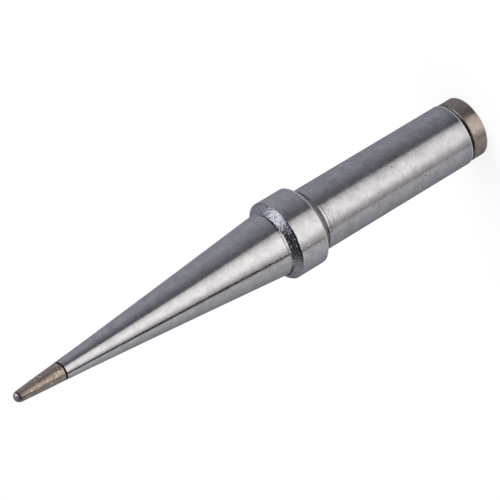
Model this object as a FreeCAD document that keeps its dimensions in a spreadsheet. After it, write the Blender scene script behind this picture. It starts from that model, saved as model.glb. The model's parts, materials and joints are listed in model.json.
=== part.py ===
import FreeCAD, Part
import math
import os
from enum import IntEnum

import Sketcher

# Driving dimensions of the soldering iron tip, in millimetres.
# The tip stands on the flat rear face of its sensor slug, with the working end up along +Z.
SIZES = {
    "end_radius": 0.495,
    "working_length": 4.67,
    "working_base_diameter": 1.67,
    "plating_edge": 0.01,
    "cone_length": 21.75,
    "seat_chamfer_length": 0.675,
    "seat_chamfer_width": 0.675,
    "seat_fillet": 0.15,
    "collar_diameter": 7.0,
    "collar_length": 2.725,
    "collar_edge_break": 0.12,
    "undercut_length": 0.68,
    "undercut_depth": 0.15,
    "shank_diameter": 5.6,
    "shank_length": 15.79,
    "shank_chamfer": 0.08,
    "bore_diameter": 2.4,
    "bore_depth": 3.2,
    "press_clearance": 0.01,
    "slot_width": 0.14,
    "slug_setback": 0.085,
    "slug_thickness": 1.58,
    "slug_front_rounding": 0.13,
    "slug_rear_rounding": 0.1,
    "stem_lead_chamfer": 0.15,
}
MATCH = 1e-6


class Axis(IntEnum):
    """A sketch's own axes, as its constraints number them."""

    HORIZONTAL = -1
    VERTICAL = -2


class Spot(IntEnum):
    """The points of a line or an arc, as a sketch's constraints number them."""

    START = 1
    END = 2
    CENTRE = 3


class Length:
    """A size and the sheet expression that drives it, so that a sketch starts where the sheet puts it."""

    def __init__(self, text, value):
        self.text = text
        self.value = value

    def __add__(self, other):
        return Length(f"({self.text} + {other.text})", self.value + other.value)

    def __sub__(self, other):
        return Length(f"({self.text} - {other.text})", self.value - other.value)

    def __truediv__(self, number):
        return Length(f"({self.text} / {number})", self.value / number)


ZERO = Length("0", 0.0)


def size(name):
    return Length(f"Sizes.{name}", SIZES[name])


def make_sheet(doc):
    sheet = doc.addObject("Spreadsheet::Sheet", "Sizes")
    for row, (name, value) in enumerate(SIZES.items(), start=1):
        sheet.set(f"A{row}", name)
        sheet.set(f"B{row}", str(value))
        sheet.setAlias(f"B{row}", name)
    doc.recompute()


def make_body(doc, name):
    body = doc.addObject("PartDesign::Body", name)
    body.Label = name
    return body


def sketch_on(body, name, role):
    """A sketch on one of the body's own origin planes."""
    plane = next(item for item in body.Origin.OriginFeatures if item.Role == role)
    sketch = body.newObject("Sketcher::SketchObject", name)
    sketch.AttachmentSupport = [(plane, "")]
    sketch.MapMode = "FlatFace"
    return sketch


def join(sketch, before, after):
    sketch.addConstraint(Sketcher.Constraint("Coincident", before, Spot.END, after, Spot.START))


def hold_start(sketch, line, corner):
    """Holds a line's start at its radius from the turning axis and its height above the base."""
    radius, height = corner
    for kind, length, axis in (("DistanceX", radius, Axis.VERTICAL), ("DistanceY", height, Axis.HORIZONTAL)):
        if length is ZERO:
            sketch.addConstraint(Sketcher.Constraint("PointOnObject", line, Spot.START, axis))
            continue
        held = Sketcher.Constraint(kind, Axis.HORIZONTAL, Spot.START, line, Spot.START, length.value)
        sketch.setExpression(f"Constraints[{sketch.addConstraint(held)}]", length.text)


def draw_outline(sketch, corners, ball_end=False):
    """A closed outline for turning, each corner a radius and a height.

    With ball_end, a quarter round leads from the last corner to the turning axis.
    """
    points = [FreeCAD.Vector(radius.value, height.value, 0) for radius, height in corners]
    if ball_end:
        foot = points[-1]
        points.append(FreeCAD.Vector(0, foot.y + foot.x, 0))
    pairs = list(zip(points, points[1:] + points[:1]))
    edges = []
    for start, end in pairs:
        if ball_end and start is foot:
            circle = Part.Circle(FreeCAD.Vector(0, foot.y, 0), FreeCAD.Vector(0, 0, 1), foot.x)
            quarter = sketch.addGeometry(Part.ArcOfCircle(circle, 0, math.pi / 2), False)
            edges.append(quarter)
        else:
            edges.append(sketch.addGeometry(Part.LineSegment(start, end), False))
    for before, after in zip(edges, edges[1:] + edges[:1]):
        join(sketch, before, after)
    for edge, corner in zip(edges, corners):
        hold_start(sketch, edge, corner)
    if ball_end:
        for spot in (Spot.CENTRE, Spot.END):
            sketch.addConstraint(Sketcher.Constraint("PointOnObject", quarter, spot, Axis.VERTICAL))
        sketch.addConstraint(Sketcher.Constraint("Horizontal", quarter, Spot.CENTRE, quarter, Spot.START))


def turn(body, kind, name, sketch):
    """Turns the sketch about its vertical axis: a Revolution adds it, a Groove cuts it."""
    feature = body.newObject(kind, name)
    feature.Profile = sketch
    feature.ReferenceAxis = (sketch, ["V_Axis"])
    feature.Angle = 360.0
    body.Document.recompute()
    return feature


def edge_at(feature, radius, height):
    """The name of the feature's round edge of that radius at that height."""
    for number, edge in enumerate(feature.Shape.Edges, start=1):
        if not isinstance(edge.Curve, Part.Circle):
            continue
        off_radius = abs(edge.Curve.Radius - radius.value)
        off_height = abs(edge.Curve.Center.z - height.value)
        if off_radius < MATCH and off_height < MATCH:
            return f"Edge{number}"
    raise RuntimeError(f"{feature.Name} has no round edge of radius {radius.value} at {height.value}")


def dress(body, kind, name, base, edge, dimension, length):
    """A Chamfer or Fillet on one round edge of the base feature."""
    feature = body.newObject(kind, name)
    feature.Base = (base, [edge])
    feature.setExpression(dimension, length.text)
    body.Document.recompute()
    return feature


def make_tip_body(doc):
    """The turned copper body: ball end, working end, cone, seat chamfer, collar, undercut, shank and bore."""
    body = make_body(doc, "tip_body")
    shank_radius = size("shank_diameter") / 2
    collar_radius = size("collar_diameter") / 2
    cone_base_radius = collar_radius - size("seat_chamfer_width")
    working_base_radius = size("working_base_diameter") / 2
    cone_end_radius = working_base_radius + size("plating_edge")
    undercut_floor = shank_radius - size("undercut_depth")
    bore_radius = size("bore_diameter") / 2

    collar_rear = size("shank_length") + size("undercut_length")
    collar_front = collar_rear + size("collar_length")
    cone_base = collar_front + size("seat_chamfer_length")
    plating_front = cone_base + size("cone_length")
    ball_base = plating_front + size("working_length") - size("end_radius")

    outline = sketch_on(body, "turned_outline", "XZ_Plane")
    draw_outline(
        outline,
        [
            (ZERO, ZERO),
            (shank_radius, ZERO),
            (shank_radius, collar_rear),
            (collar_radius, collar_rear),
            (collar_radius, collar_front),
            (cone_base_radius, cone_base),
            (cone_end_radius, plating_front),
            (working_base_radius, plating_front),
            (size("end_radius"), ball_base),
        ],
        ball_end=True,
    )
    turn(body, "PartDesign::Revolution", "turned_blank", outline)

    relief = sketch_on(body, "undercut_outline", "XZ_Plane")
    clear_of_shank = shank_radius + size("undercut_depth")
    draw_outline(
        relief,
        [
            (undercut_floor, size("shank_length")),
            (clear_of_shank, size("shank_length")),
            (clear_of_shank, collar_rear),
            (undercut_floor, collar_rear),
        ],
    )
    turn(body, "PartDesign::Groove", "undercut", relief)

    drilled = sketch_on(body, "bore_outline", "XZ_Plane")
    draw_outline(
        drilled,
        [
            (ZERO, ZERO),
            (bore_radius, ZERO),
            (bore_radius, size("bore_depth")),
            (ZERO, size("bore_depth")),
        ],
    )
    bore = turn(body, "PartDesign::Groove", "slug_bore", drilled)

    lead = dress(
        body,
        "PartDesign::Chamfer",
        "shank_lead",
        bore,
        edge_at(bore, shank_radius, ZERO),
        "Size",
        size("shank_chamfer"),
    )
    broken = dress(
        body,
        "PartDesign::Chamfer",
        "collar_rear_edge",
        lead,
        edge_at(lead, collar_radius, collar_rear),
        "Size",
        size("collar_edge_break"),
    )
    dress(
        body,
        "PartDesign::Fillet",
        "seat_root",
        broken,
        edge_at(broken, cone_base_radius, cone_base),
        "Radius",
        size("seat_fillet"),
    )
    standing_height = size("slug_thickness") + size("slot_width")
    body.setExpression("Placement.Base.z", standing_height.text)
    return body


def make_sensor_slug(doc):
    """The magnetic slug: a disc behind the shank, and a stem that bottoms in the shank's bore."""
    body = make_body(doc, "sensor_slug")
    slug_radius = size("shank_diameter") / 2 - size("slug_setback")
    stem_radius = size("bore_diameter") / 2 - size("press_clearance")
    head_front = size("slug_thickness")
    stem_end = head_front + size("slot_width") + size("bore_depth")

    outline = sketch_on(body, "slug_outline", "XZ_Plane")
    draw_outline(
        outline,
        [
            (ZERO, ZERO),
            (slug_radius, ZERO),
            (slug_radius, head_front),
            (stem_radius, head_front),
            (stem_radius, stem_end),
            (ZERO, stem_end),
        ],
    )
    blank = turn(body, "PartDesign::Revolution", "slug_blank", outline)
    front = dress(
        body,
        "PartDesign::Fillet",
        "front_edge",
        blank,
        edge_at(blank, slug_radius, head_front),
        "Radius",
        size("slug_front_rounding"),
    )
    lead = dress(
        body,
        "PartDesign::Chamfer",
        "stem_lead",
        front,
        edge_at(front, stem_radius, stem_end),
        "Size",
        size("stem_lead_chamfer"),
    )
    dress(
        body,
        "PartDesign::Fillet",
        "rear_edge",
        lead,
        edge_at(lead, slug_radius, ZERO),
        "Radius",
        size("slug_rear_rounding"),
    )
    return body


def check_document(doc):
    """Stops at any object that failed to build."""
    for item in doc.Objects:
        failed = {"Invalid", "Error"} & set(item.State)
        if failed:
            raise RuntimeError(f"{item.Name} is {', '.join(sorted(failed))}")


def check_body(body):
    """Stops unless the sub-part is one sound solid."""
    shape = body.Shape
    if shape.isNull() or not shape.isValid() or len(shape.Solids) != 1:
        raise RuntimeError(f"{body.Label} is not one valid solid")


def main():
    doc = FreeCAD.newDocument("soldering_iron_tip")
    make_sheet(doc)
    bodies = [make_tip_body(doc), make_sensor_slug(doc)]
    doc.recompute()
    check_document(doc)
    for body in bodies:
        check_body(body)
    os.makedirs("parts", exist_ok=True)
    for body in bodies:
        body.Shape.exportStep(f"parts/{body.Label}.step")
        box = body.Shape.BoundBox
        print(f"{body.Label}: volume {body.Shape.Volume:.3f} mm3, height {box.ZMin:.3f} to {box.ZMax:.3f} mm")


main()
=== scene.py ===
"""Looks of a long conical soldering iron tip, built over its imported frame.

The tip stands on the flat rear face of its sensor slug, with the working end up. Every length is in metres.
Angles about the turning axis are in degrees, from the side that faces the camera, and positive towards +X.
"""

import json
import logging
import math
from dataclasses import dataclass
from enum import Enum

import bpy
from mathutils import Matrix, Vector, noise


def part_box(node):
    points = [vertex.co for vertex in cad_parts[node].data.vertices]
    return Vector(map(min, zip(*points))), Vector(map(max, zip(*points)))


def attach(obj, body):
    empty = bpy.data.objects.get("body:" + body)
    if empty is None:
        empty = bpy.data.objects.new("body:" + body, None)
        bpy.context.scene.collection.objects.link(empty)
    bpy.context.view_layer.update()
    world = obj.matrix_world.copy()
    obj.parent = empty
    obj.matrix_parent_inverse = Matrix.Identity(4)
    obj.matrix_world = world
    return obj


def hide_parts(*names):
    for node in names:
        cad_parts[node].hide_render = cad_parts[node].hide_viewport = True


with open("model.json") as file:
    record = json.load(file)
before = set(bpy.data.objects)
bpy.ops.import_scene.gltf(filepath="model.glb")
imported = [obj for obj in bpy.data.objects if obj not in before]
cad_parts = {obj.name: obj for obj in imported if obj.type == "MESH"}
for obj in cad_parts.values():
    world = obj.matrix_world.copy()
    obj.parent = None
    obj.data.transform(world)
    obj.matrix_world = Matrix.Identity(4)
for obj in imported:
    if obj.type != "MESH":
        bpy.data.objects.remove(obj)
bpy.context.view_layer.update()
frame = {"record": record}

MM = 0.001
MICRON = 0.000001
BODY = "root"
TIP_SEGMENTS = 320
SLUG_SEGMENTS = 256
SHARP_EDGE = 30.0
# Nearly every value of a noise pattern lies in this range.
NOISE_RANGE = (0.3, 0.7)

Colour = tuple[float, float, float]
Value = float | bpy.types.NodeSocket

log = logging.getLogger("soldering_tip")


class Zone(Enum):
    """The stretches of the turned surface that have a finish of their own."""

    NUB = "nub"
    WORKING_END = "working_end"
    PLATING_EDGE = "plating_edge"
    CONE = "cone"
    SEAT = "seat"
    # Paler plating here is a painted highlight.
    COLLAR_EDGE = "collar_edge"
    COLLAR = "collar"
    # Near-white: a painted highlight on the broken edges and the rims beside them.
    BROKEN_EDGE = "broken_edge"
    UNDERCUT = "undercut"
    SHANK = "shank"
    # Nearly black: painted shade in the slot between the shank and the slug.
    SLOT = "slot"
    BORE = "bore"
    SLUG = "slug"
    # Darker: painted shade on the slug's roundings.
    SLUG_EDGE = "slug_edge"


class Slot(Enum):
    """The record's material slots."""

    PLATED_BODY = "plated_body"
    MAGNETIC_SLUG = "magnetic_slug"


@dataclass(frozen=True)
class FrameSizes:
    """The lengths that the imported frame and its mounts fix."""

    end_height: float
    bore_floor: float
    rear_face: float
    collar_front: float
    collar_rear: float
    collar_radius: float
    shank_front: float
    shank_radius: float
    slug_radius: float

    @classmethod
    def read(cls, edge_break: float) -> "FrameSizes":
        """Reads them from the nodes' boxes and from the shank and collar mounts.

        Args:
            edge_break: the chamfer on the collar's rear edge, which its mount leaves out.

        Returns:
            The lengths, all measured from the floor or from the turning axis.
        """
        tip_low, tip_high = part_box("tip_body")
        _, slug_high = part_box("sensor_slug")
        mounts = {mount["name"]: mount for mount in frame["record"]["mounts"]}
        collar, shank = mounts["collar"], mounts["shank"]
        half_collar = collar["dims"]["length_mm"] * MM / 2
        half_shank = shank["dims"]["length_mm"] * MM / 2
        return cls(
            end_height=tip_high.z,
            bore_floor=slug_high.z,
            rear_face=tip_low.z,
            collar_front=collar["pos_m"][2] + half_collar,
            collar_rear=collar["pos_m"][2] - half_collar - edge_break,
            collar_radius=collar["dims"]["r_mm"] * MM,
            shank_front=shank["pos_m"][2] + half_shank,
            shank_radius=shank["dims"]["r_mm"] * MM,
            slug_radius=slug_high.x,
        )


@dataclass(frozen=True)
class Ring:
    """A ring of a turned outline. Its zone is the finish of the band between it and the ring before."""

    radius: float
    height: float
    zone: Zone


def around(centre: tuple[float, float], reach: float, angle: float) -> tuple[float, float]:
    """The radius and height of the point at that distance from a centre, at an angle above outwards."""
    turn = math.radians(angle)
    return centre[0] + reach * math.cos(turn), centre[1] + reach * math.sin(turn)


class Outline:
    """A turned outline, drawn ring by ring down the outside of a piece from its upper end."""

    def __init__(self, height: float, zone: Zone) -> None:
        """Starts on the turning axis at that height."""
        self.rings = [Ring(0.0, height, zone)]

    def line(self, radius: float, height: float, zone: Zone, rows: int = 1, bow: float = 0.0) -> None:
        """Draws a straight or slightly bowed stretch.

        Args:
            radius: radius of its last ring.
            height: height of its last ring.
            zone: finish of the stretch.
            rows: how many bands it is cut into.
            bow: how far its middle stands outside the straight line.
        """
        start = self.rings[-1]
        for row in range(1, rows + 1):
            share = row / rows
            bulge = 4 * bow * share * (1 - share)
            self.rings.append(
                Ring(
                    start.radius + (radius - start.radius) * share + bulge,
                    start.height + (height - start.height) * share,
                    zone,
                )
            )

    def round(self, centre: tuple[float, float], size: float, angles: tuple[float, float], zone: Zone,
              rows: int) -> None:
        """Draws a rounded stretch.

        Args:
            centre: radius and height of the centre of the rounding.
            size: its own radius.
            angles: where it starts and ends, in degrees above the outward direction.
            zone: finish of the stretch.
            rows: how many bands it is cut into.
        """
        for row in range(1, rows + 1):
            angle = angles[0] + (angles[1] - angles[0]) * row / rows
            self.rings.append(Ring(*around(centre, size, angle), zone))

    def bend(self, corner: tuple[float, float], size: float, leans: tuple[float, float],
             zones: tuple[Zone, Zone], rows: tuple[int, int]) -> None:
        """Draws a straight stretch towards a corner, and a rounding in place of the corner.

        Args:
            corner: radius and height at which the stretches on its two sides would meet.
            size: radius of the rounding.
            leans: how far each of those stretches faces up, in degrees.
            zones: finishes of the stretch before the corner and of the rounding.
            rows: how many bands each of them is cut into.
        """
        first, last = leans
        is_hollow = last > first
        middle = (first + last) / 2
        reach = size / math.cos(math.radians((last - first) / 2))
        centre = around(corner, reach if is_hollow else -reach, middle)
        turn = 180.0 if is_hollow else 0.0
        self.line(*around(centre, size, first + turn), zones[0], rows[0])
        self.round(centre, size, (first + turn, last + turn), zones[1], rows[1])

    def close(self, height: float, zone: Zone) -> None:
        """Ends on the turning axis at that height."""
        self.rings.append(Ring(0.0, height, zone))


@dataclass(frozen=True)
class TurnedPiece:
    """A piece off the lathe: an outline turned about the Z axis into one closed mesh."""

    name: str
    node: str
    slot: Slot
    segments: int

    def outline(self) -> list[Ring]:
        """The piece's rings, from its upper end down the outside."""
        raise NotImplementedError

    def spot(self, ring: Ring, spoke: Vector) -> Vector:
        """Where a point of a ring lies on the plain turned surface.

        Args:
            ring: the ring.
            spoke: the direction from the turning axis to the point.

        Returns:
            The point's place.
        """
        return spoke * ring.radius + Vector((0.0, 0.0, ring.height))

    def build(self, finishes: dict[Zone, bpy.types.Material]) -> bpy.types.Object:
        """Makes the piece, gives it its finishes and sets it in the frame.

        Args:
            finishes: the material of each zone.

        Returns:
            The piece, which stands for its CAD node.
        """
        rings = self.outline()
        mesh = bpy.data.meshes.new(self.name)
        mesh.from_pydata(self._points(rings), [], self._faces(rings))
        self._dress(mesh, rings, finishes)
        piece = bpy.data.objects.new(self.name, mesh)
        bpy.context.scene.collection.objects.link(piece)
        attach(piece, BODY)
        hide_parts(self.node)
        return piece

    def _points(self, rings: list[Ring]) -> list[Vector]:
        """The mesh's points: one at each end on the axis and one circle for every ring between.

        Args:
            rings: the outline.

        Returns:
            The points, ring after ring.
        """
        points = [Vector((0.0, 0.0, rings[0].height))]
        for ring in rings[1:-1]:
            for step in range(self.segments):
                angle = 2 * math.pi * step / self.segments
                points.append(self.spot(ring, Vector((math.cos(angle), math.sin(angle), 0.0))))
        points.append(Vector((0.0, 0.0, rings[-1].height)))
        return points

    def _faces(self, rings: list[Ring]) -> list[tuple[int, ...]]:
        """The mesh's faces: a fan at each end and a band of quads between each pair of rings.

        Args:
            rings: the outline.

        Returns:
            The faces, band after band, all facing out.
        """
        count = self.segments
        last = 1 + count * (len(rings) - 2)
        faces: list[tuple[int, ...]] = []
        for step in range(count):
            faces.append((0, 1 + step, 1 + (step + 1) % count))
        for band in range(len(rings) - 3):
            upper = 1 + band * count
            lower = upper + count
            for step in range(count):
                onward = (step + 1) % count
                faces.append((upper + step, lower + step, lower + onward, upper + onward))
        for step in range(count):
            faces.append((last - count + step, last, last - count + (step + 1) % count))
        return faces

    def _dress(self, mesh: bpy.types.Mesh, rings: list[Ring],
               finishes: dict[Zone, bpy.types.Material]) -> None:
        """Gives each band of the mesh the material of its zone, and shades it as turned metal.

        Args:
            mesh: the piece's mesh.
            rings: the outline that it was made from.
            finishes: the material of each zone.
        """
        zones = list(dict.fromkeys(ring.zone for ring in rings))
        for zone in zones:
            mesh.materials.append(finishes[zone])
        numbers = {zone: number for number, zone in enumerate(zones)}
        bands = [numbers[ring.zone] for ring in rings[1:]]
        mesh.polygons.foreach_set("material_index", [band for band in bands for _ in range(self.segments)])
        mesh.shade_smooth()
        mesh.set_sharp_from_angle(angle=math.radians(SHARP_EDGE))
        mesh.update()


@dataclass(frozen=True)
class TipBody(TurnedPiece):
    """The turned and plated copper body, from its rounded end to the bore in its rear face."""

    sizes: FrameSizes
    end_radius: float = 0.49 * MM
    coat_start: float = 0.42 * MM
    coat_step: float = 0.07 * MM
    coat_radius: float = 0.499 * MM
    working_length: float = 4.67 * MM
    working_base_radius: float = 0.828 * MM
    working_bow: float = 0.012 * MM
    edge_width: float = 0.18 * MM
    edge_height: float = 0.016 * MM
    edge_slant: float = 0.117 * MM
    slant_reach: float = 1.0 * MM
    slant_power: float = 1.5
    shoulder_length: float = 0.43 * MM
    shoulder_radius: float = 0.882 * MM
    shoulder_bow: float = 0.006 * MM
    cone_front_length: float = 2.33 * MM
    cone_front_radius: float = 1.037 * MM
    cone_bow: float = -0.015 * MM
    flare_length: float = 0.82 * MM
    flare_radius: float = 2.768 * MM
    seat_length: float = 0.675 * MM
    seat_width: float = 0.675 * MM
    seat_fillet: float = 0.15 * MM
    seat_edge: float = 0.03 * MM
    collar_lead: float = 0.03 * MM
    collar_edge: float = 0.08 * MM
    edge_break: float = 0.12 * MM
    # The rims are bands of wall beside the broken edges that take their painted highlight.
    collar_rim: float = 0.055 * MM
    shank_rim: float = 0.085 * MM
    undercut_depth: float = 0.15 * MM
    undercut_shoulder: float = 0.03 * MM
    shank_taper: float = 0.008 * MM
    shank_chamfer: float = 0.08 * MM
    # Share of the shank's rear chamfer that takes the painted highlight.
    bright_share: float = 0.3
    slot_drop: float = 0.045 * MM
    bore_radius: float = 1.2 * MM
    dent_size: float = 0.17 * MM
    dent_depth: float = 0.013 * MM
    dent_middle: float = 0.4
    dent_fade: float = 6.0
    dent_roughness: float = 0.7
    dent_step: float = 2.0
    dent_layers: int = 4
    burr_angle: float = -33.0
    burr_size: float = 0.12 * MM
    burr_drop: float = 0.15 * MM
    burr_height: float = 0.05 * MM

    def outline(self) -> list[Ring]:
        """Draws the body.

        Returns:
            Its rings, from the rounded end down to the floor of the bore.
        """
        drawing = Outline(self.sizes.end_height, Zone.NUB)
        self._draw_working_end(drawing)
        self._draw_cone(drawing)
        self._draw_collar(drawing)
        self._draw_shank(drawing)
        return drawing.rings

    def _draw_working_end(self, drawing: Outline) -> None:
        """Draws the rounded nub, the brown coated taper and the dark bead where the plating starts.

        Args:
            drawing: the outline that is drawn on.
        """
        top = self.sizes.end_height
        centre = top - self.end_radius
        coat_angle = math.degrees(math.asin((self.end_radius - self.coat_start) / self.end_radius))
        drawing.round((0.0, centre), self.end_radius, (90.0, coat_angle), Zone.NUB, 28)
        drawing.line(self.coat_radius, top - self.coat_start - self.coat_step, Zone.WORKING_END, 3)
        base = top - self.working_length + self.edge_width / 2
        drawing.line(self.working_base_radius, base, Zone.WORKING_END, 40, self.working_bow)
        behind = base - self.edge_width
        drawing.line(self.working_base_radius, behind, Zone.PLATING_EDGE, 8, self.edge_height)

    def _draw_cone(self, drawing: Outline) -> None:
        """Draws the plated cone, with the thicker plating at its front and the flare at its base.

        Args:
            drawing: the outline that is drawn on.
        """
        front = self.plating_edge
        flare = self.cone_base + self.flare_length
        drawing.line(self.shoulder_radius, front - self.shoulder_length, Zone.CONE, 6, self.shoulder_bow)
        drawing.line(self.cone_front_radius, front - self.cone_front_length, Zone.CONE, 12)
        drawing.line(self.flare_radius, flare, Zone.CONE, 60, self.cone_bow)

    def _draw_collar(self, drawing: Outline) -> None:
        """Draws the seat chamfer with the fillet at its root, and the collar with its broken edges.

        Args:
            drawing: the outline that is drawn on.
        """
        root = (self.sizes.collar_radius - self.seat_width, self.cone_base)
        flare = drawing.rings[-1]
        wall_lean = math.degrees(math.atan2(root[0] - flare.radius, flare.height - root[1]))
        seat_lean = math.degrees(math.atan2(self.seat_width, self.seat_length))
        collar = self.sizes.collar_radius
        edge = (collar, self.collar_front)
        drawing.bend(root, self.seat_fillet, (wall_lean, seat_lean), (Zone.CONE, Zone.SEAT), (6, 8))
        drawing.bend(edge, self.seat_edge, (seat_lean, 0.0), (Zone.SEAT, Zone.COLLAR_EDGE), (16, 4))
        # This band is paler: a painted highlight along the collar's front edge.
        drawing.line(collar, self.collar_front - self.collar_edge, Zone.COLLAR_EDGE, 2)
        rear = self.sizes.collar_rear
        drawing.line(collar, rear + self.edge_break + self.collar_rim, Zone.COLLAR, 16)
        # The rim and the chamfer take the broken edge's painted highlight.
        drawing.line(collar, rear + self.edge_break, Zone.BROKEN_EDGE)
        drawing.line(collar - self.edge_break, rear, Zone.BROKEN_EDGE, 3)

    def _draw_shank(self, drawing: Outline) -> None:
        """Draws the undercut, the shank, the slot's upper side and the bore.

        Args:
            drawing: the outline that is drawn on.
        """
        shank = self.sizes.shank_radius
        floor = shank - self.undercut_depth
        front = self.sizes.shank_front
        drawing.line(floor, self.sizes.collar_rear, Zone.UNDERCUT, 4)
        drawing.line(floor, front, Zone.UNDERCUT, 6)
        stained = (Zone.UNDERCUT, Zone.UNDERCUT)
        drawing.bend((shank, front), self.undercut_shoulder, (90.0, 0.0), stained, (2, 5))
        rear = self.sizes.rear_face - self.slot_drop
        end = shank - self.shank_taper
        chamfer = self.shank_chamfer
        drawing.line(end, rear + chamfer + self.shank_rim, Zone.SHANK, 54)
        # The rim and part of the chamfer take the broken edge's painted highlight.
        drawing.line(end, rear + chamfer, Zone.BROKEN_EDGE)
        bright = self.bright_share * chamfer
        drawing.line(end - bright, rear + chamfer - bright, Zone.BROKEN_EDGE)
        # The slot's faces take the nearly black finish, painted shade.
        drawing.line(end - chamfer, rear, Zone.SLOT, 2)
        drawing.line(self.bore_radius, rear, Zone.SLOT, 4)
        drawing.line(self.bore_radius, self.sizes.bore_floor, Zone.BORE, 2)
        drawing.close(self.sizes.bore_floor, Zone.BORE)

    @property
    def collar_front(self) -> float:
        """Height at which the collar's wall ends, a hair further forward than its mount."""
        return self.sizes.collar_front + self.collar_lead

    @property
    def cone_base(self) -> float:
        """Height at which the cone meets the seat chamfer."""
        return self.collar_front + self.seat_length

    @property
    def plating_edge(self) -> float:
        """Height at which the bright plating starts."""
        return self.sizes.end_height - self.working_length

    @property
    def burr_place(self) -> Vector:
        """Where a burr stands on the front edge of the shank.

        Returns:
            The middle of the burr.
        """
        turn = math.radians(self.burr_angle)
        shank = self.sizes.shank_radius
        height = self.sizes.shank_front - self.burr_drop
        return Vector((shank * math.sin(turn), -shank * math.cos(turn), height))

    def spot(self, ring: Ring, spoke: Vector) -> Vector:
        """Where a point lies, with the slant of the plating edge, the dents of the seat and a burr.

        Args:
            ring: the ring.
            spoke: the direction from the turning axis to the point.

        Returns:
            The point's place.
        """
        place = super().spot(ring, spoke)
        near = max(0.0, 1.0 - abs(ring.height - self.plating_edge) / self.slant_reach)
        place.z += self.edge_slant * near * max(0.0, spoke.x) ** self.slant_power
        if ring.zone is Zone.SEAT:
            share = (ring.height - self.collar_front) / self.seat_length
            fade = max(0.0, min(1.0, self.dent_fade * share, self.dent_fade * (1 - share)))
            where = place / self.dent_size
            dent = noise.fractal(where, self.dent_roughness, self.dent_step, self.dent_layers)
            place += spoke * self.dent_depth * fade * (dent - self.dent_middle)
        off = (place - self.burr_place).length / self.burr_size
        return place + spoke * self.burr_height * math.exp(-off * off)


@dataclass(frozen=True)
class SensorSlug(TurnedPiece):
    """The magnetic slug: its stem in the shank's bore, and the disc behind the open slot."""

    sizes: FrameSizes
    thickness: float = 1.535 * MM
    front_break: float = 0.15 * MM
    front_rounding: float = 0.04 * MM
    rear_rounding: float = 0.1 * MM
    stem_radius: float = 1.19 * MM
    stem_lead: float = 0.15 * MM
    off_centre: float = 0.012 * MM

    def outline(self) -> list[Ring]:
        """Draws the slug.

        Returns:
            Its rings, from the end of its stem down to its flat rear face.
        """
        drawing = Outline(self.sizes.bore_floor, Zone.BORE)
        radius = self.sizes.slug_radius
        drawing.line(self.stem_radius - self.stem_lead, self.sizes.bore_floor, Zone.BORE)
        drawing.line(self.stem_radius, self.sizes.bore_floor - self.stem_lead, Zone.BORE)
        drawing.line(self.stem_radius, self.thickness, Zone.BORE, 2)
        inner = (radius - self.front_break, self.thickness)
        outer = (radius, self.thickness - self.front_break)
        # Painted shade: the face in the slot and the slug's roundings take the dark slot and edge finishes.
        drawing.bend(inner, self.front_rounding, (90.0, 45.0), (Zone.SLOT, Zone.SLUG_EDGE), (4, 4))
        drawing.bend(outer, self.front_rounding, (45.0, 0.0), (Zone.SLUG_EDGE, Zone.SLUG_EDGE), (1, 4))
        drawing.bend((radius, 0.0), self.rear_rounding, (0.0, -90.0), (Zone.SLUG, Zone.SLUG_EDGE), (16, 8))
        drawing.close(0.0, Zone.SLUG)
        return drawing.rings

    def spot(self, ring: Ring, spoke: Vector) -> Vector:
        """Where a point of a ring lies: the disc sits a hair off the stem's centre.

        Args:
            ring: the ring.
            spoke: the direction from the turning axis to the point.

        Returns:
            The point's place.
        """
        place = super().spot(ring, spoke)
        if ring.zone is not Zone.BORE:
            place.x += self.off_centre
        return place


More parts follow.
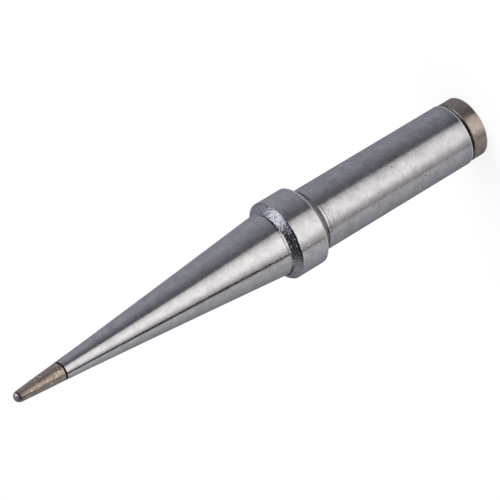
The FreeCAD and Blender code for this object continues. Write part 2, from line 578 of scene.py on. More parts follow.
class NodeBench:
    """Lays out and links the nodes of one material or of the world."""

    def __init__(self, tree: bpy.types.NodeTree) -> None:
        """Takes the tree and clears it."""
        tree.nodes.clear()
        self.tree = tree

    def add(self, kind: str, inputs: dict[str | int, object], **options: object) -> bpy.types.Node:
        """Adds a node.

        Args:
            kind: the node's type.
            inputs: what each of its input sockets is set to or linked from.
            options: settings of the node itself.

        Returns:
            The node.
        """
        node = self.tree.nodes.new(kind)
        for option, value in options.items():
            setattr(node, option, value)
        for socket, value in inputs.items():
            self.feed(node.inputs[socket], value)
        return node

    def feed(self, socket: bpy.types.NodeSocket, value: object) -> None:
        """Links a socket to another, or sets it to a plain value.

        Args:
            socket: the input socket.
            value: the output socket or the value that it takes.
        """
        if isinstance(value, bpy.types.NodeSocket):
            self.tree.links.new(value, socket)
        else:
            socket.default_value = value

    def sum(self, operation: str, first: Value, second: Value) -> bpy.types.NodeSocket:
        """The outcome of one step of arithmetic."""
        return self.add("ShaderNodeMath", {0: first, 1: second}, operation=operation).outputs[0]

    def spread(self, value: Value, start: tuple[float, float],
               end: tuple[float, float]) -> bpy.types.NodeSocket:
        """Stretches a value from one range to another, held at the ends.

        Args:
            value: what is stretched.
            start: the range that it comes in.
            end: the range that it goes out in.

        Returns:
            The stretched value.
        """
        inputs = {
            "Value": value,
            "From Min": start[0],
            "From Max": start[1],
            "To Min": end[0],
            "To Max": end[1],
        }
        return self.add("ShaderNodeMapRange", inputs).outputs["Result"]

    def blend(self, share: Value, first: Colour | bpy.types.NodeSocket,
              second: Colour) -> bpy.types.NodeSocket:
        """A colour between two others.

        Args:
            share: how much of the second one shows.
            first: the colour beneath, plain or from a node.
            second: the colour laid over it.

        Returns:
            The blended colour.
        """
        under = first if isinstance(first, bpy.types.NodeSocket) else (*first, 1.0)
        node = self.add("ShaderNodeMix", {0: share, 6: under, 7: (*second, 1.0)}, data_type="RGBA")
        return node.outputs[2]

    def place(self) -> bpy.types.NodeSocket:
        """The point's place on the piece."""
        return self.add("ShaderNodeTexCoord", {}).outputs["Object"]

    def wound(self, length: float, width: float) -> bpy.types.NodeSocket:
        """Coordinates wound round the axis, in which lathe marks are long one way and narrow the other.

        Args:
            length: length of a mark round the axis, as an angle in degrees.
            width: its width along the axis.

        Returns:
            The coordinates, one unit to a mark.
        """
        split = self.add("ShaderNodeSeparateXYZ", {0: self.place()})
        flat = self.add("ShaderNodeCombineXYZ", {"X": split.outputs["X"], "Y": split.outputs["Y"]})
        spoke = self.add("ShaderNodeVectorMath", {0: flat.outputs[0]}, operation="NORMALIZE")
        turn = {0: spoke.outputs[0], "Scale": 1 / math.radians(length)}
        wide = self.add("ShaderNodeVectorMath", turn, operation="SCALE")
        rise = self.add("ShaderNodeCombineXYZ", {"Z": self.sum("MULTIPLY", split.outputs["Z"], 1 / width)})
        both = {0: wide.outputs[0], 1: rise.outputs[0]}
        return self.add("ShaderNodeVectorMath", both, operation="ADD").outputs[0]

    def cloud(self, size: float, detail: float = 3.0, crispness: float = 0.5) -> bpy.types.NodeSocket:
        """A soft random pattern of patches about that size, whose finer detail can be made to stand out."""
        inputs = {"Vector": self.place(), "Scale": 1 / size, "Detail": detail, "Roughness": crispness}
        return self.add("ShaderNodeTexNoise", inputs).outputs[0]

    def streaks(self, length: float, width: float, detail: float = 2.0) -> bpy.types.NodeSocket:
        """A random pattern of lathe marks of that length and width."""
        inputs = {"Vector": self.wound(length, width), "Scale": 1.0, "Detail": detail}
        return self.add("ShaderNodeTexNoise", inputs).outputs[0]

    def specks(self, spacing: float, size: float, share: float) -> bpy.types.NodeSocket:
        """Small scattered spots.

        Args:
            spacing: distance between the places where a spot may be.
            size: radius of a spot.
            share: share of those places that have one.

        Returns:
            1 in the spots and 0 between them.
        """
        cells = self.add("ShaderNodeTexVoronoi", {"Vector": self.place(), "Scale": 1 / spacing})
        reach = size / spacing
        core = 0.5 * reach
        blur = 0.01
        near = self.spread(cells.outputs["Distance"], (core, reach), (1.0, 0.0))
        chosen = self.spread(cells.outputs["Color"], (share, share + blur), (1.0, 0.0))
        return self.sum("MULTIPLY", near, chosen)


@dataclass(frozen=True)
class StainAndShadeLine:
    """A ragged line of another colour round a part of the tip, used both for real stains and for painted
    shade: it fades out at the ends of its spread.
    """

    height: float
    reach: float
    colour: Colour
    angle: float = 0.0
    spread: float = 360.0
    raggedness: float = 1.5
    grain: float = 0.15 * MM
    softness: float = 0.3

    def share(self, bench: NodeBench) -> bpy.types.NodeSocket:
        """How much of the stain shows.

        Args:
            bench: where the nodes are laid out.

        Returns:
            1 in the stain and 0 away from it.
        """
        split = bench.add("ShaderNodeSeparateXYZ", {0: bench.place()})
        gap = bench.sum("ABSOLUTE", bench.sum("SUBTRACT", split.outputs["Z"], self.height), 0.0)
        torn = bench.spread(bench.cloud(self.grain), NOISE_RANGE, (0.0, self.raggedness))
        off = bench.sum("ADD", bench.sum("DIVIDE", gap, self.reach), torn)
        line = bench.spread(off, (1 - self.softness, 1 + self.softness), (1.0, 0.0))
        if self.spread >= 180:
            return line
        turn = math.radians(self.angle)
        spoke = bench.add("ShaderNodeCombineXYZ", {"X": split.outputs["X"], "Y": split.outputs["Y"]})
        unit = bench.add("ShaderNodeVectorMath", {0: spoke.outputs[0]}, operation="NORMALIZE")
        side = {0: unit.outputs[0], 1: (math.sin(turn), -math.cos(turn), 0.0)}
        facing = bench.add("ShaderNodeVectorMath", side, operation="DOT_PRODUCT").outputs["Value"]
        full = (1 - self.softness) * self.spread
        ends = math.cos(math.radians(self.spread)), math.cos(math.radians(full))
        return bench.sum("MULTIPLY", line, bench.spread(facing, ends, (0.0, 1.0)))


@dataclass(frozen=True)
class Metal:
    """A worn metal surface: colours, some with painted shade or highlight, gloss, the lathe's marks and a
    fine grain.
    """

    name: str
    colour: Colour
    stain: Colour
    stain_size: float
    stain_cover: float
    roughness: float
    roughness_swing: float
    stain_levels: tuple[float, float] = (0.62, 0.38)
    stain_edge: float = 0.16
    stain_detail: float = 6.0
    stain_crispness: float = 0.75
    gloss_patch: float = 3.0
    gloss_detail: float = 4.0
    metallic: float = 1.0
    stretch: float = 0.0
    stretch_turn: float = 0.25
    mark_length: float = 20.0
    mark_width: float = 0.1 * MM
    mark_depth: float = 0.0
    grain_size: float = 0.15 * MM
    grain_depth: float = 0.0
    pit_spacing: float = 0.5 * MM
    pit_size: float = 0.05 * MM
    pit_share: float = 0.0
    pit_depth: float = 1.2 * MICRON
    pit_colour: Colour = (0.05, 0.045, 0.045)
    shine: float = 0.5
    # Ragged lines over the colour: real stains, and in some zones painted shade.
    stains: tuple[StainAndShadeLine, ...] = ()

    def make(self) -> bpy.types.Material:
        """The finish as a material.

        Returns:
            A new material whose colour, gloss and relief all vary over the surface.
        """
        material = bpy.data.materials.new(self.name)
        material.use_nodes = True
        bench = NodeBench(material.node_tree)
        pits = bench.specks(self.pit_spacing, self.pit_size, self.pit_share)
        shader = bench.add(
            "ShaderNodeBsdfPrincipled",
            {
                "Base Color": bench.blend(pits, self._colour(bench), self.pit_colour),
                "Metallic": self.metallic,
                "Roughness": self._gloss(bench),
                "Specular IOR Level": self.shine,
                "Normal": self._relief(bench, pits),
            },
        )
        if self.stretch:
            self._stretch(bench, shader)
        output = bench.add("ShaderNodeOutputMaterial", {})
        bench.feed(output.inputs["Surface"], shader.outputs[0])
        return material

    def _colour(self, bench: NodeBench) -> bpy.types.NodeSocket:
        """The colour with its clouds, its stains and its lines of painted shade.

        Args:
            bench: where the nodes are laid out.

        Returns:
            The colour.
        """
        cloud = bench.cloud(self.stain_size, self.stain_detail, self.stain_crispness)
        bare, covered = self.stain_levels
        level = bare + (covered - bare) * self.stain_cover
        share = bench.spread(cloud, (level - self.stain_edge, level + self.stain_edge), (0.0, 1.0))
        colour = bench.blend(share, self.colour, self.stain)
        for stain in self.stains:
            colour = bench.blend(stain.share(bench), colour, stain.colour)
        return colour

    def _gloss(self, bench: NodeBench) -> bpy.types.NodeSocket:
        """The roughness, uneven over patches a few grains wide.

        Args:
            bench: where the nodes are laid out.

        Returns:
            The roughness.
        """
        cloud = bench.cloud(self.gloss_patch * self.grain_size, self.gloss_detail)
        low, high = self.roughness - self.roughness_swing, self.roughness + self.roughness_swing
        return bench.spread(cloud, NOISE_RANGE, (low, high))

    def _relief(self, bench: NodeBench, pits: bpy.types.NodeSocket) -> bpy.types.NodeSocket:
        """The surface direction after lathe marks, grain and pits.

        Args:
            bench: where the nodes are laid out.
            pits: 1 in a pit and 0 elsewhere.

        Returns:
            The bent surface direction.
        """
        marks = bench.sum("MULTIPLY", bench.streaks(self.mark_length, self.mark_width), self.mark_depth)
        grain = bench.sum("MULTIPLY", bench.cloud(self.grain_size), self.grain_depth)
        dug = bench.sum("MULTIPLY", pits, self.pit_depth)
        height = bench.sum("SUBTRACT", bench.sum("ADD", marks, grain), dug)
        return bench.add("ShaderNodeBump", {"Strength": 1.0, "Distance": 1.0, "Height": height}).outputs[0]

    def _stretch(self, bench: NodeBench, shader: bpy.types.Node) -> None:
        """Draws reflections out along the axis, across the lathe marks.

        Args:
            bench: where the nodes are laid out.
            shader: the metal's shader.
        """
        shader.inputs["Anisotropic"].default_value = self.stretch
        shader.inputs["Anisotropic Rotation"].default_value = self.stretch_turn
        tangent = bench.add("ShaderNodeTangent", {}, direction_type="RADIAL", axis="Z")
        bench.feed(shader.inputs["Tangent"], tangent.outputs[0])


@dataclass(frozen=True)
class TipFinishes:
    """Every finish of the tip."""

    body: TipBody
    bright: Colour = (0.90, 0.863, 0.85)
    dull: Colour = (0.655, 0.626, 0.63)

    def make(self) -> dict[Zone, bpy.types.Material]:
        """Makes one material for each zone.

        Returns:
            The materials by zone.
        """
        return {zone: metal.make() for zone, metal in self._metals().items()}

    def _seat_shade_and_stains(self) -> tuple[StainAndShadeLine, ...]:
        """Painted shade in lines and spots at the seat's root crease and the collar's front edge, and a
        brown line there.

        Returns:
            The lines and spots.
        """
        dark = (0.03, 0.028, 0.03)
        height = self.body.cone_base + 0.06 * MM
        front = self.body.collar_front
        return (
            # The first three darken the seat's root crease and the fourth the collar's front edge, all
            # painted shade; the last is a brown line.
            StainAndShadeLine(height, 0.06 * MM, (0.26, 0.245, 0.245), 40.0, 36.0, 1.1),
            StainAndShadeLine(height, 0.26 * MM, dark, 38.0, 32.0, 2.3, 0.2 * MM),
            StainAndShadeLine(height - 0.1 * MM, 0.19 * MM, dark, -76.0, 20.0, 1.1),
            StainAndShadeLine(front + 0.06 * MM, 0.09 * MM, (0.2, 0.2, 0.21), -10.0, 42.0, 1.0),
            StainAndShadeLine(front + 0.04 * MM, 0.05 * MM, (0.4, 0.32, 0.28), 66.0, 30.0, 0.8),
        )

    def _spots(self) -> tuple[StainAndShadeLine, ...]:
        """Single dark spots on the shank, where its plating is pitted.

        Returns:
            The spots, placed by their distance behind the shank's front edge and their angle.
        """
        front = self.body.sizes.shank_front
        dark = (0.27, 0.26, 0.26)
        places = ((2.12, -43.8), (9.55, -51.6), (7.85, 6.9), (10.5, -38.8), (0.78, 13.9))
        return tuple(StainAndShadeLine(front - drop * MM, 0.08 * MM, dark, angle, 1.9, 0.7) for drop, angle in places)

    def _feed_rings(self) -> tuple[StainAndShadeLine, ...]:
        """The rings that the lathe's feed left on the shank, close behind its front edge.

        Returns:
            The rings, from the front.
        """
        front = self.body.sizes.shank_front
        worn = (0.5, 0.48, 0.48)
        rings = (
            (0.28, 0.08, (0.34, 0.32, 0.32), -8.0, 30.0, 0.9),
            (0.5, 0.05, worn, -4.0, 26.0, 1.1),
            (0.72, 0.06, (0.42, 0.4, 0.4), -8.0, 26.0, 1.2),
            (0.95, 0.05, worn, -6.0, 24.0, 1.4),
        )
        return tuple(StainAndShadeLine(front - drop * MM, reach * MM, *rest) for drop, reach, *rest in rings)

    def _burr_stains(self) -> tuple[StainAndShadeLine, ...]:
        """The dark stain round the burr, and the bare metal on top of it.

        Returns:
            The stains, the lower one first.
        """
        height, angle = self.body.burr_place.z, self.body.burr_angle
        return (
            StainAndShadeLine(height, 0.22 * MM, (0.2, 0.13, 0.09), angle, 5.5, 0.5),
            StainAndShadeLine(height, 0.12 * MM, (1.0, 0.84, 0.62), angle, 3.4, 0.5),
        )

    def _metals(self) -> dict[Zone, Metal]:
        """The finish of each zone, worked out from the two plating colours and the bare metals.

        Returns:
            The finishes by zone.
        """
        plating = dict(
            colour=self.bright, stain=self.dull, stain_size=0.8 * MM, stain_cover=0.5, roughness_swing=0.04,
            stretch=0.7, mark_length=14.0, mark_width=0.09 * MM, grain_size=0.16 * MM,
            pit_spacing=0.6 * MM, pit_size=0.045 * MM, pit_share=0.08, pit_colour=(0.15, 0.14, 0.14),
        )
        # Paler than the plating: a painted highlight along the collar's front edge.
        painted_highlight_plating = {**plating, "colour": (1.0, 0.985, 0.98)}
        shank_plating = {**plating, "colour": (0.84, 0.803, 0.80), "stain": (0.58, 0.552, 0.56)}
        black = (0.012, 0.011, 0.013)
        brown = (0.5, 0.408, 0.35)
        end, rear = self.body.sizes.end_height, self.body.sizes.rear_face
        edge, root = self.body.collar_front, self.body.cone_base
        pit = StainAndShadeLine(end - 0.15 * MM, 0.05 * MM, (0.16, 0.16, 0.16), 12.0, 12.0, 0.2)
        # Painted shadow in the step between the rounded end and the coat, dark on the side that faces the
        # camera.
        painted_joint_shadow = StainAndShadeLine(end - 0.345 * MM, 0.055 * MM, black, 4.0, 50.0, 0.4)
        # Painted shade that darkens the working end along one edge of its highlight.
        painted_shade_beside_highlight = StainAndShadeLine(end - 2.6 * MM, 2.6 * MM, brown, -21.0, 11.0, 0.5, 0.3 * MM)
        seat_ring = StainAndShadeLine(root + 0.16 * MM, 0.055 * MM, (0.2, 0.19, 0.19), -4.0, 32.0, 0.9)
        edge_shadow = StainAndShadeLine(edge - 0.01 * MM, 0.045 * MM, (0.08, 0.08, 0.09), 5.0, 22.0, 0.4)
        # A duller band round the shank close to its rear end.
        dull_rear_band = StainAndShadeLine(rear + 0.3 * MM, 0.5 * MM, (0.6, 0.59, 0.6), raggedness=0.8, grain=0.4 * MM)
        burr = self._burr_stains()
        return {
            Zone.NUB: Metal(
                "polished_nub", (0.47, 0.432, 0.44), (0.31, 0.277, 0.284), 0.25 * MM, 0.5, 0.15, 0.03,
                metallic=0.75, grain_size=0.12 * MM, grain_depth=1.5 * MICRON, stains=(pit, painted_joint_shadow),
            ),
            Zone.WORKING_END: Metal(
                "brown_working_end", (0.675, 0.543, 0.455), (0.335, 0.284, 0.264), 0.16 * MM, 0.5,
                0.31, 0.1, metallic=0.85, mark_depth=1.5 * MICRON, grain_size=0.24 * MM,
                grain_depth=20 * MICRON, pit_spacing=0.2 * MM, pit_size=0.1 * MM, pit_share=0.42,
                pit_colour=(1.0, 0.79, 0.62), stains=(painted_shade_beside_highlight, painted_joint_shadow),
            ),
            Zone.PLATING_EDGE: Metal(
                "burnt_plating_edge", black, (0.02, 0.018, 0.02), 0.2 * MM, 0.5, 0.7, 0.1,
                metallic=0.0, shine=0.05,
            ),
            Zone.CONE: Metal(
                "cone_plating", roughness=0.175, mark_depth=0.5 * MICRON, grain_depth=2.6 * MICRON,
                stains=(seat_ring, *self._seat_shade_and_stains()), **plating
            ),
            Zone.SEAT: Metal(
                "dented_seat_plating", (0.82, 0.81, 0.84), (0.42, 0.41, 0.44), 0.2 * MM, 0.5, 0.15, 0.05,
                grain_size=0.2 * MM, grain_depth=38 * MICRON,
                pit_spacing=0.19 * MM, pit_size=0.07 * MM, pit_share=0.46, stains=self._seat_shade_and_stains(),
            ),
            Zone.COLLAR_EDGE: Metal(
                "bright_collar_edge", roughness=0.2, stains=(edge_shadow,), **painted_highlight_plating
            ),
            Zone.COLLAR: Metal(
                "collar_plating", roughness=0.2, mark_depth=0.6 * MICRON, grain_depth=2 * MICRON, **plating
            ),
            # Its near-white colour is a painted highlight on the broken edges and their rims.
            Zone.BROKEN_EDGE: Metal(
                "bright_broken_edge", (0.95, 0.96, 0.99), (0.8, 0.81, 0.84), 0.4 * MM, 0.4, 0.4, 0.08,
                metallic=0.42,
            ),
            Zone.UNDERCUT: Metal(
                "stained_undercut", (0.44, 0.415, 0.415), (0.31, 0.288, 0.29), 0.4 * MM, 0.5, 0.45, 0.08,
                metallic=0.3, mark_depth=2 * MICRON, stains=burr,
            ),
            Zone.SHANK: Metal(
                "shank_plating", roughness=0.255, mark_depth=0.8 * MICRON, grain_depth=2.9 * MICRON,
                stains=(dull_rear_band, *self._feed_rings(), *self._spots(), *burr), **shank_plating
            ),
            # Painted shade: the faces in the narrow slot are coloured nearly black.
            Zone.SLOT: Metal(
                "blackened_slot", (0.21, 0.18, 0.165), (0.11, 0.093, 0.085), 0.3 * MM, 0.5, 0.7, 0.1,
                metallic=0.0, shine=0.05,
            ),
            Zone.BORE: Metal(
                "drilled_copper", (0.6, 0.35, 0.26), (0.4, 0.22, 0.17), 0.5 * MM, 0.5, 0.4, 0.08,
                mark_depth=1 * MICRON,
            ),
            Zone.SLUG: Metal(
                "slug_alloy", (0.6, 0.5, 0.425), (0.43, 0.355, 0.31), 0.4 * MM, 0.5, 0.38, 0.06,
                stretch=0.5, mark_depth=1.2 * MICRON, grain_depth=3.2 * MICRON,
            ),
            # A darker colour on the slug's roundings: painted shade.
            Zone.SLUG_EDGE: Metal(
                "slug_edge", (0.34, 0.285, 0.25), (0.24, 0.2, 0.18), 0.4 * MM, 0.5, 0.22, 0.05,
            ),
        }


@dataclass(frozen=True)
class PhotoCamera:
    """The camera of the photograph, set against the tip as it stands."""

    elevation: float = 26.1037
    roll: float = 31.06
    lens: float = 276.91
    sensor: float = 36.0
    reach: float = 304.02 * MM
    back_along: float = 22.052 * MM
    aside: float = 0.479 * MM
    near_clip: float = 0.01
    far_clip: float = 20.0

    @property
    def forward(self) -> Vector:
        """The direction in which the camera looks."""
        angle = math.radians(self.elevation)
        return Vector((0.0, math.cos(angle), -math.sin(angle)))

    def set_up(self, end_height: float) -> None:
        """Makes the camera and gives it to the scene.

        Args:
            end_height: height of the working end, which the camera was measured from.
        """
        angle = math.radians(self.elevation)
        turn = math.radians(self.roll)
        along = Vector((0.0, -math.sin(angle), -math.cos(angle)))
        across = Vector((1.0, 0.0, 0.0))
        right = math.cos(turn) * along - math.sin(turn) * across
        upward = math.sin(turn) * along + math.cos(turn) * across
        axes = Matrix((right, upward, -self.forward)).transposed()
        data = bpy.data.cameras.new("photo_camera")
        data.lens = self.lens
        data.sensor_width = self.sensor
        data.clip_start = self.near_clip
        data.clip_end = self.far_clip
        camera = bpy.data.objects.new("photo_camera", data)
        end = Vector((0.0, 0.0, end_height))
        place = end + self.back_along * along + self.aside * across - self.reach * self.forward
        camera.matrix_world = Matrix.Translation(place) @ axes.to_4x4()
        bpy.context.scene.collection.objects.link(camera)
        bpy.context.scene.camera = camera


@dataclass(frozen=True)
class Shade:
    """One stop of a shaded card: its angle about the tip at the card's two ends, and its level.

    On a floor card the near end is what the shank shows, up to the collar, and the far end what the cone
    shows. The stop may have angles of its own where the collar and where the front of the cone show it.
    """

    near: float
    far: float
    level: float
    collar: float | None = None
    front: float | None = None

    @property
    def angles(self) -> tuple[float, float, float, float]:
        """The angles at which the metal shows the stop.

        Returns:
            Those on the shank, the collar, the base of the cone and its front.
        """
        collar = self.near if self.collar is None else self.collar
        front = self.far if self.front is None else self.front
        return self.near, collar, self.far, front

    def towards(self, other: "Shade", share: float) -> "Shade":
        """The stop that lies that share of the way to another."""
        near, collar, far, front = (a + (b - a) * share for a, b in zip(self.angles, other.angles))
        return Shade(near, far, self.level + (other.level - self.level) * share, collar, front)


def even(*stops: tuple[float, float]) -> tuple[Shade, ...]:
    """Stops that keep their angle all along a card, each given as its angle and its level."""
    return tuple(Shade(angle, angle, level) for angle, level in stops)


def in_fine_steps(shades: tuple[Shade, ...], largest: float = 3.0) -> list[Shade]:
    """Fills in stops, so that a card that is wide bends smoothly round the tip.

    Args:
        shades: the card's stops.
        largest: the largest angle between two stops.

    Returns:
        The stops and those between them.
    """
    filled = [shades[0]]
    for first, second in zip(shades, shades[1:]):
        count = math.ceil(max(abs(second.near - first.near), abs(second.far - first.far)) / largest)
        filled.extend(first.towards(second, step / count) for step in range(1, count + 1))
    return filled


@dataclass(frozen=True)
class FloorCard:
    """A shaded card round the tip, which only the metal mirrors.

    It lies on the floor and stands up at its outer edge. Each of its spokes starts at the shank and runs the
    way in which the shank there mirrors the camera's view, so a stop's angle is where the metal shows it.
    """

    name: str
    tint: Colour
    shades: tuple[Shade, ...]
    lift: float = 0.05 * MM
    start: float = 2.75 * MM
    collar_run: float = 45 * MM
    cone_run: float = 70 * MM
    front_run: float = 154 * MM
    outer: float = 200 * MM
    wall: float = 70 * MM

    def build(self) -> None:
        """Makes the card."""
        runs = (0.0, self.collar_run, self.cone_run, self.front_run, self.outer, self.outer)
        points = []
        levels = []
        for shade in in_fine_steps(self.shades):
            angles = (*shade.angles, shade.angles[-1], shade.angles[-1])
            for place, (run, angle) in enumerate(zip(runs, angles)):
                rise = self.wall if place == len(runs) - 1 else 0.0
                points.append(self._spoke(angle, run) + Vector((0.0, 0.0, self.lift + rise)))
                levels.append(shade.level)
        make_card(self.name, points, levels, len(runs), self.tint)

    def _spoke(self, angle: float, run: float) -> Vector:
        """A point on the floor, along the way in which the shank at that angle mirrors the view.

        Args:
            angle: the angle of the shank's face, in degrees.
            run: how far out the point lies.

        Returns:
            The point.
        """
        turn = math.radians(angle)
        foot = Vector((math.sin(turn), -math.cos(turn), 0.0)) * self.start
        return foot + Vector((math.sin(2 * turn), -math.cos(2 * turn), 0.0)) * run


@dataclass(frozen=True)
class SkyCard:
    """A shaded card overhead, which only the metal mirrors: it fills what leaning faces of the tip show."""

    name: str
    tint: Colour
    leans: tuple[float, float]
    shades: tuple[Shade, ...]
    height: float = 24 * MM
    reach: float = 300 * MM
    steps: int = 6

    def build(self, sight: Vector) -> None:
        """Makes the card.

        Args:
            sight: the direction in which the camera looks.
        """
        middle = Vector((0.0, 0.0, self.height))
        points = []
        levels = []
        for shade in in_fine_steps(self.shades):
            for step in range(self.steps):
                share = step / (self.steps - 1)
                lean = self.leans[0] + (self.leans[1] - self.leans[0]) * share
                angle = shade.near + (shade.far - shade.near) * share
                points.append(middle + self._bounce(sight, lean, angle) * self.reach)
                levels.append(shade.level)
        make_card(self.name, points, levels, self.steps, self.tint)

    def _bounce(self, sight: Vector, lean: float, angle: float) -> Vector:
        """The way in which a face mirrors the camera's view.

        Args:
            sight: the direction in which the camera looks.
            lean: how far the face looks up, in degrees.
            angle: the face's angle about the tip, in degrees.

        Returns:
            The direction of the mirrored view.
        """
        up, turn = math.radians(lean), math.radians(angle)
        face = Vector((math.cos(up) * math.sin(turn), -math.cos(up) * math.cos(turn), math.sin(up)))
        return sight - 2 * sight.dot(face) * face


def make_card(name: str, points: list[Vector], levels: list[float], rows: int, tint: Colour) -> None:
    """Makes a shaded card from a grid of points, as stage and seen by nothing but reflections.

    Args:
        name: the card's name.
        points: its points, one column after another.
        levels: the light that each point sends to the metal.
        rows: how many points a column has.
        tint: the colour of its light.
    """
    faces = []
    for column in range(len(points) // rows - 1):
        for row in range(rows - 1):
            corner = column * rows + row
            faces.append((corner, corner + 1, corner + rows + 1, corner + rows))
    mesh = bpy.data.meshes.new(name)
    mesh.from_pydata(points, [], faces)
    attribute = mesh.attributes.new("level", "FLOAT", "POINT")
    attribute.data.foreach_set("value", levels)
    material = bpy.data.materials.new(name)
    material.use_nodes = True
    material.cycles.emission_sampling = "NONE"
    bench = NodeBench(material.node_tree)
    level = bench.add("ShaderNodeAttribute", {}, attribute_name="level")
    glow = bench.add("ShaderNodeEmission", {"Color": (*tint, 1.0), "Strength": level.outputs["Fac"]})
    bench.add("ShaderNodeOutputMaterial", {"Surface": glow.outputs[0]})
    mesh.materials.append(material)
    card = bpy.data.objects.new(name, mesh)
    bpy.context.scene.collection.objects.link(card)
    card.visible_camera = False
    card.visible_diffuse = False
    card.visible_transmission = False
    card.visible_volume_scatter = False
    card.visible_shadow = False


@dataclass(frozen=True)
class Studio:
    """A pale floor, soft light and the cards that the plating mirrors."""

    floor_size: float = 2.0
    floor_drop: float = 0.01 * MM
    floor_white: float = 0.25
    floor_glow: float = 0.78
    ambient: float = 0.75
    softbox_size: float = 0.35
    softbox_reach: float = 0.6
    softbox_power: float = 0.9
    softbox_turn: float = 80.0
    softbox_rise: float = 52.0

    def build(self, camera: PhotoCamera, end_height: float) -> None:
        """Sets up the floor, the world, the softbox and the cards.

        Args:
            camera: the photograph's camera, whose view the cards are laid out for.
            end_height: height of the tip.
        """
        bpy.context.scene.view_settings.view_transform = "Standard"
        self._lay_floor()
        self._light_world()
        self._hang_softbox()
        for card in self._floor_cards():
            card.build()
        for card in (*self._sky_cards(), *self._nub_cards(end_height)):
            card.build(camera.forward)

    def _seen(self, bench: NodeBench) -> bpy.types.NodeSocket:
        """Tells how a ray sees the background.

        Args:
            bench: where the nodes are laid out.

        Returns:
            1 where it is seen directly, mirrored or through glass, and 0 where it lights things.
        """
        path = bench.add("ShaderNodeLightPath", {})
        mirrored = bench.sum("MAXIMUM", path.outputs["Is Camera Ray"], path.outputs["Is Glossy Ray"])
        return bench.sum("MAXIMUM", mirrored, path.outputs["Is Transmission Ray"])

    def _lay_floor(self) -> None:
        """Lays the floor: it looks white and still takes the tip's shadow."""
        half = self.floor_size / 2
        corners = [(-half, -half), (half, -half), (half, half), (-half, half)]
        mesh = bpy.data.meshes.new("studio_floor")
        mesh.from_pydata([(x, y, -self.floor_drop) for x, y in corners], [], [(0, 1, 2, 3)])
        material = bpy.data.materials.new("studio_floor")
        material.use_nodes = True
        material.cycles.emission_sampling = "NONE"
        bench = NodeBench(material.node_tree)
        strength = bench.sum("MULTIPLY", self._seen(bench), self.floor_glow)
        glow = bench.add("ShaderNodeEmission", {"Color": (1.0, 1.0, 1.0, 1.0), "Strength": strength})
        paint = bench.add("ShaderNodeBsdfDiffuse", {"Color": (*[self.floor_white] * 3, 1.0)})
        both = bench.add("ShaderNodeAddShader", {0: glow.outputs[0], 1: paint.outputs[0]})
        bench.add("ShaderNodeOutputMaterial", {"Surface": both.outputs[0]})
        mesh.materials.append(material)
        floor = bpy.data.objects.new("studio_floor", mesh)
        bpy.context.scene.collection.objects.link(floor)

    def _light_world(self) -> None:
        """Gives the world its even light, and the white that shows behind the tip."""
        world = bpy.data.worlds.new("studio_world")
        bpy.context.scene.world = world
        world.use_nodes = True
        world.cycles.sampling_method = "NONE"
        bench = NodeBench(world.node_tree)
        strength = bench.spread(self._seen(bench), (0.0, 1.0), (self.ambient, 1.0))
        light = bench.add("ShaderNodeBackground", {"Color": (1.0, 1.0, 1.0, 1.0), "Strength": strength})
        bench.add("ShaderNodeOutputWorld", {"Surface": light.outputs[0]})

    def _hang_softbox(self) -> None:
        """Hangs one large soft lamp above the tip's +X side."""
        data = bpy.data.lights.new("softbox", "AREA")
        data.shape = "SQUARE"
        data.size = self.softbox_size
        data.energy = self.softbox_power
        lamp = bpy.data.objects.new("softbox", data)
        turn, rise = math.radians(self.softbox_turn), math.radians(self.softbox_rise)
        away = Vector((math.cos(rise) * math.sin(turn), -math.cos(rise) * math.cos(turn), math.sin(rise)))
        lamp.location = away * self.softbox_reach
        lamp.rotation_mode = "QUATERNION"
        lamp.rotation_quaternion = away.to_track_quat("Z", "Y")
        lamp.visible_camera = False
        bpy.context.scene.collection.objects.link(lamp)

    def _floor_cards(self) -> tuple[FloorCard, ...]:
        """The cards round the tip: a dark side, a lighter side and the slit between it and the window.

        Returns:
            The cards, from the camera's right round to its left.
        """
        cool = (0.93, 0.98, 1.145)
        plain = (1.0, 1.015, 1.12)
        return (
            FloorCard("right_card", cool, (
                Shade(12.9, 13.3, 0.11, 13.6, 9.6), Shade(17, 15, 0.10, 17.6, 13.4), Shade(21, 19, 0.12),
                Shade(28, 26, 0.18), Shade(38, 34, 0.245), Shade(50, 46, 0.31), Shade(62, 60, 0.295),
                Shade(76, 76, 0.27), Shade(83, 83, 0.25), Shade(90, 90, 0.29),
            )),
            FloorCard("right_shoulder", (1.0, 0.99, 1.0), (
                Shade(-4, -5, 1.0), Shade(1, 0, 0.92), Shade(6, 5, 0.74), Shade(10, 8, 0.6),
                Shade(12.9, 13.3, 0.42, 13.6, 9.6),
            )),
            FloorCard("left_shoulder", (1.0, 0.99, 1.0), (
                Shade(-30, -28.8, 0.34), Shade(-25, -25, 0.46), Shade(-21, -21, 0.66), Shade(-16, -16, 0.94),
                Shade(-13, -13, 1.0),
            )),
            FloorCard("slit_card", plain, (
                Shade(-32.2, -33.3, 0.02, front=-35.4), Shade(-30.3, -29.4, 0.02, front=-26.9),
            )),
            FloorCard("left_card", (1.0, 1.01, 1.1), (
                Shade(-56, -56, 0.32), Shade(-50, -46, 0.36, front=-50), Shade(-42, -37, 0.43, front=-42),
                Shade(-32.2, -33.3, 0.44, front=-35.4),
            )),
            FloorCard("left_far_card", (0.98, 1.03, 1.17), even(
                (-90, 0.17), (-83, 0.14), (-76, 0.21), (-60, 0.28), (-56, 0.32),
            )),
        )

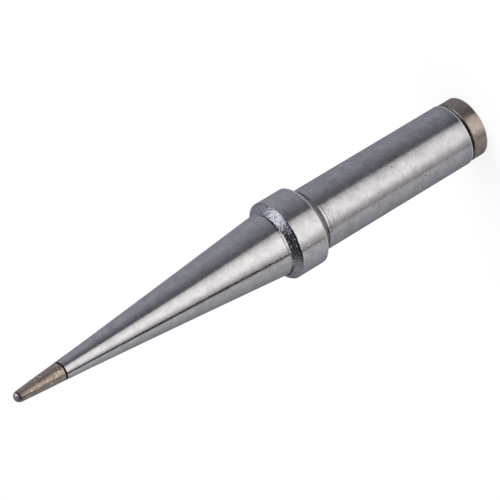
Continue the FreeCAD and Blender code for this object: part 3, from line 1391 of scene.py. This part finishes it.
    def _sky_cards(self) -> tuple[SkyCard, ...]:
        """The cards overhead, which the seat chamfer and the rounded end show.

        Returns:
            The cards.
        """
        cool = (0.93, 0.97, 1.1)
        plain = (1.0, 0.99, 1.02)
        return (
            SkyCard("bright_patch", cool, (36.0, 58.0), even(
                (13, 0.25), (17, 0.73), (24, 0.98), (34, 0.88), (42, 0.66), (50, 0.4), (54, 0.33),
            )),
            SkyCard("black_flag", (0.93, 0.97, 1.3), (36.0, 64.0), even(
                (-46, 0.15), (-38, 0.05), (-20, 0.02), (8, 0.04), (13, 0.25),
            )),
            SkyCard("right_sky", cool, (15.0, 64.0), even(
                (54, 0.33), (62, 0.3), (89, 0.3),
            )),
            SkyCard("left_sky", plain, (15.0, 64.0), even(
                (-89, 0.28), (-60, 0.27), (-46, 0.22),
            )),
            SkyCard("right_low_sky", cool, (13.0, 36.0), (
                Shade(15, 13, 0.1), Shade(54, 54, 0.15),
            )),
            SkyCard("left_low_sky", plain, (13.0, 36.0), even(
                (-54, 0.2), (-32, 0.15),
            )),
            SkyCard("crown", plain, (64.0, 90.0), even(
                (-180, 0.3), (-90, 0.3), (-45, 0.2), (0, 0.15), (45, 0.2), (90, 0.3), (180, 0.3),
            )),
        )

    def _nub_cards(self, end_height: float) -> tuple[SkyCard, ...]:
        """The small cards close round the tip, which only its rounded end and the flecks beside it show.

        Args:
            end_height: height of the tip.

        Returns:
            The cards.
        """
        plain = (1.0, 0.99, 1.0)
        near = dict(height=end_height - 0.5 * MM, reach=12 * MM)
        return (
            SkyCard("nub_shade", plain, (9.0, 26.0), even(
                (-60, 0.2), (-48, 0.06), (16, 0.06), (24, 0.3),
            ), **near),
            SkyCard("nub_front", plain, (26.0, 48.0), even(
                (-60, 0.12), (-40, 0.05), (-10, 0.14), (2, 0.5), (22, 1.0),
            ), **near),
            SkyCard("nub_light", plain, (34.0, 48.0), even(
                (22, 1.0), (25, 3.6), (35, 3.6), (39, 0.4),
            ), **near),
            SkyCard("nub_crown", plain, (48.0, 90.0), even(
                (-180, 0.3), (-90, 0.25), (-40, 0.16), (0, 0.26), (40, 0.4), (90, 0.4), (180, 0.3),
            ), **near),
        )


def main() -> None:
    """Builds the tip, its camera and its studio, and reports each piece."""
    logging.basicConfig(level=logging.INFO, format="%(name)s: %(message)s")
    sizes = FrameSizes.read(edge_break=TipBody.edge_break)
    body = TipBody("turned_tip", "tip_body", Slot.PLATED_BODY, TIP_SEGMENTS, sizes)
    slug = SensorSlug("rear_slug", "sensor_slug", Slot.MAGNETIC_SLUG, SLUG_SEGMENTS, sizes)
    finishes = TipFinishes(body).make()
    for piece in (body, slug):
        made = piece.build(finishes)
        log.info("%s: %d faces for %s", made.name, len(made.data.polygons), piece.node)
    camera = PhotoCamera()
    camera.set_up(sizes.end_height)
    Studio().build(camera, sizes.end_height)


if __name__ == "__main__":
    main()
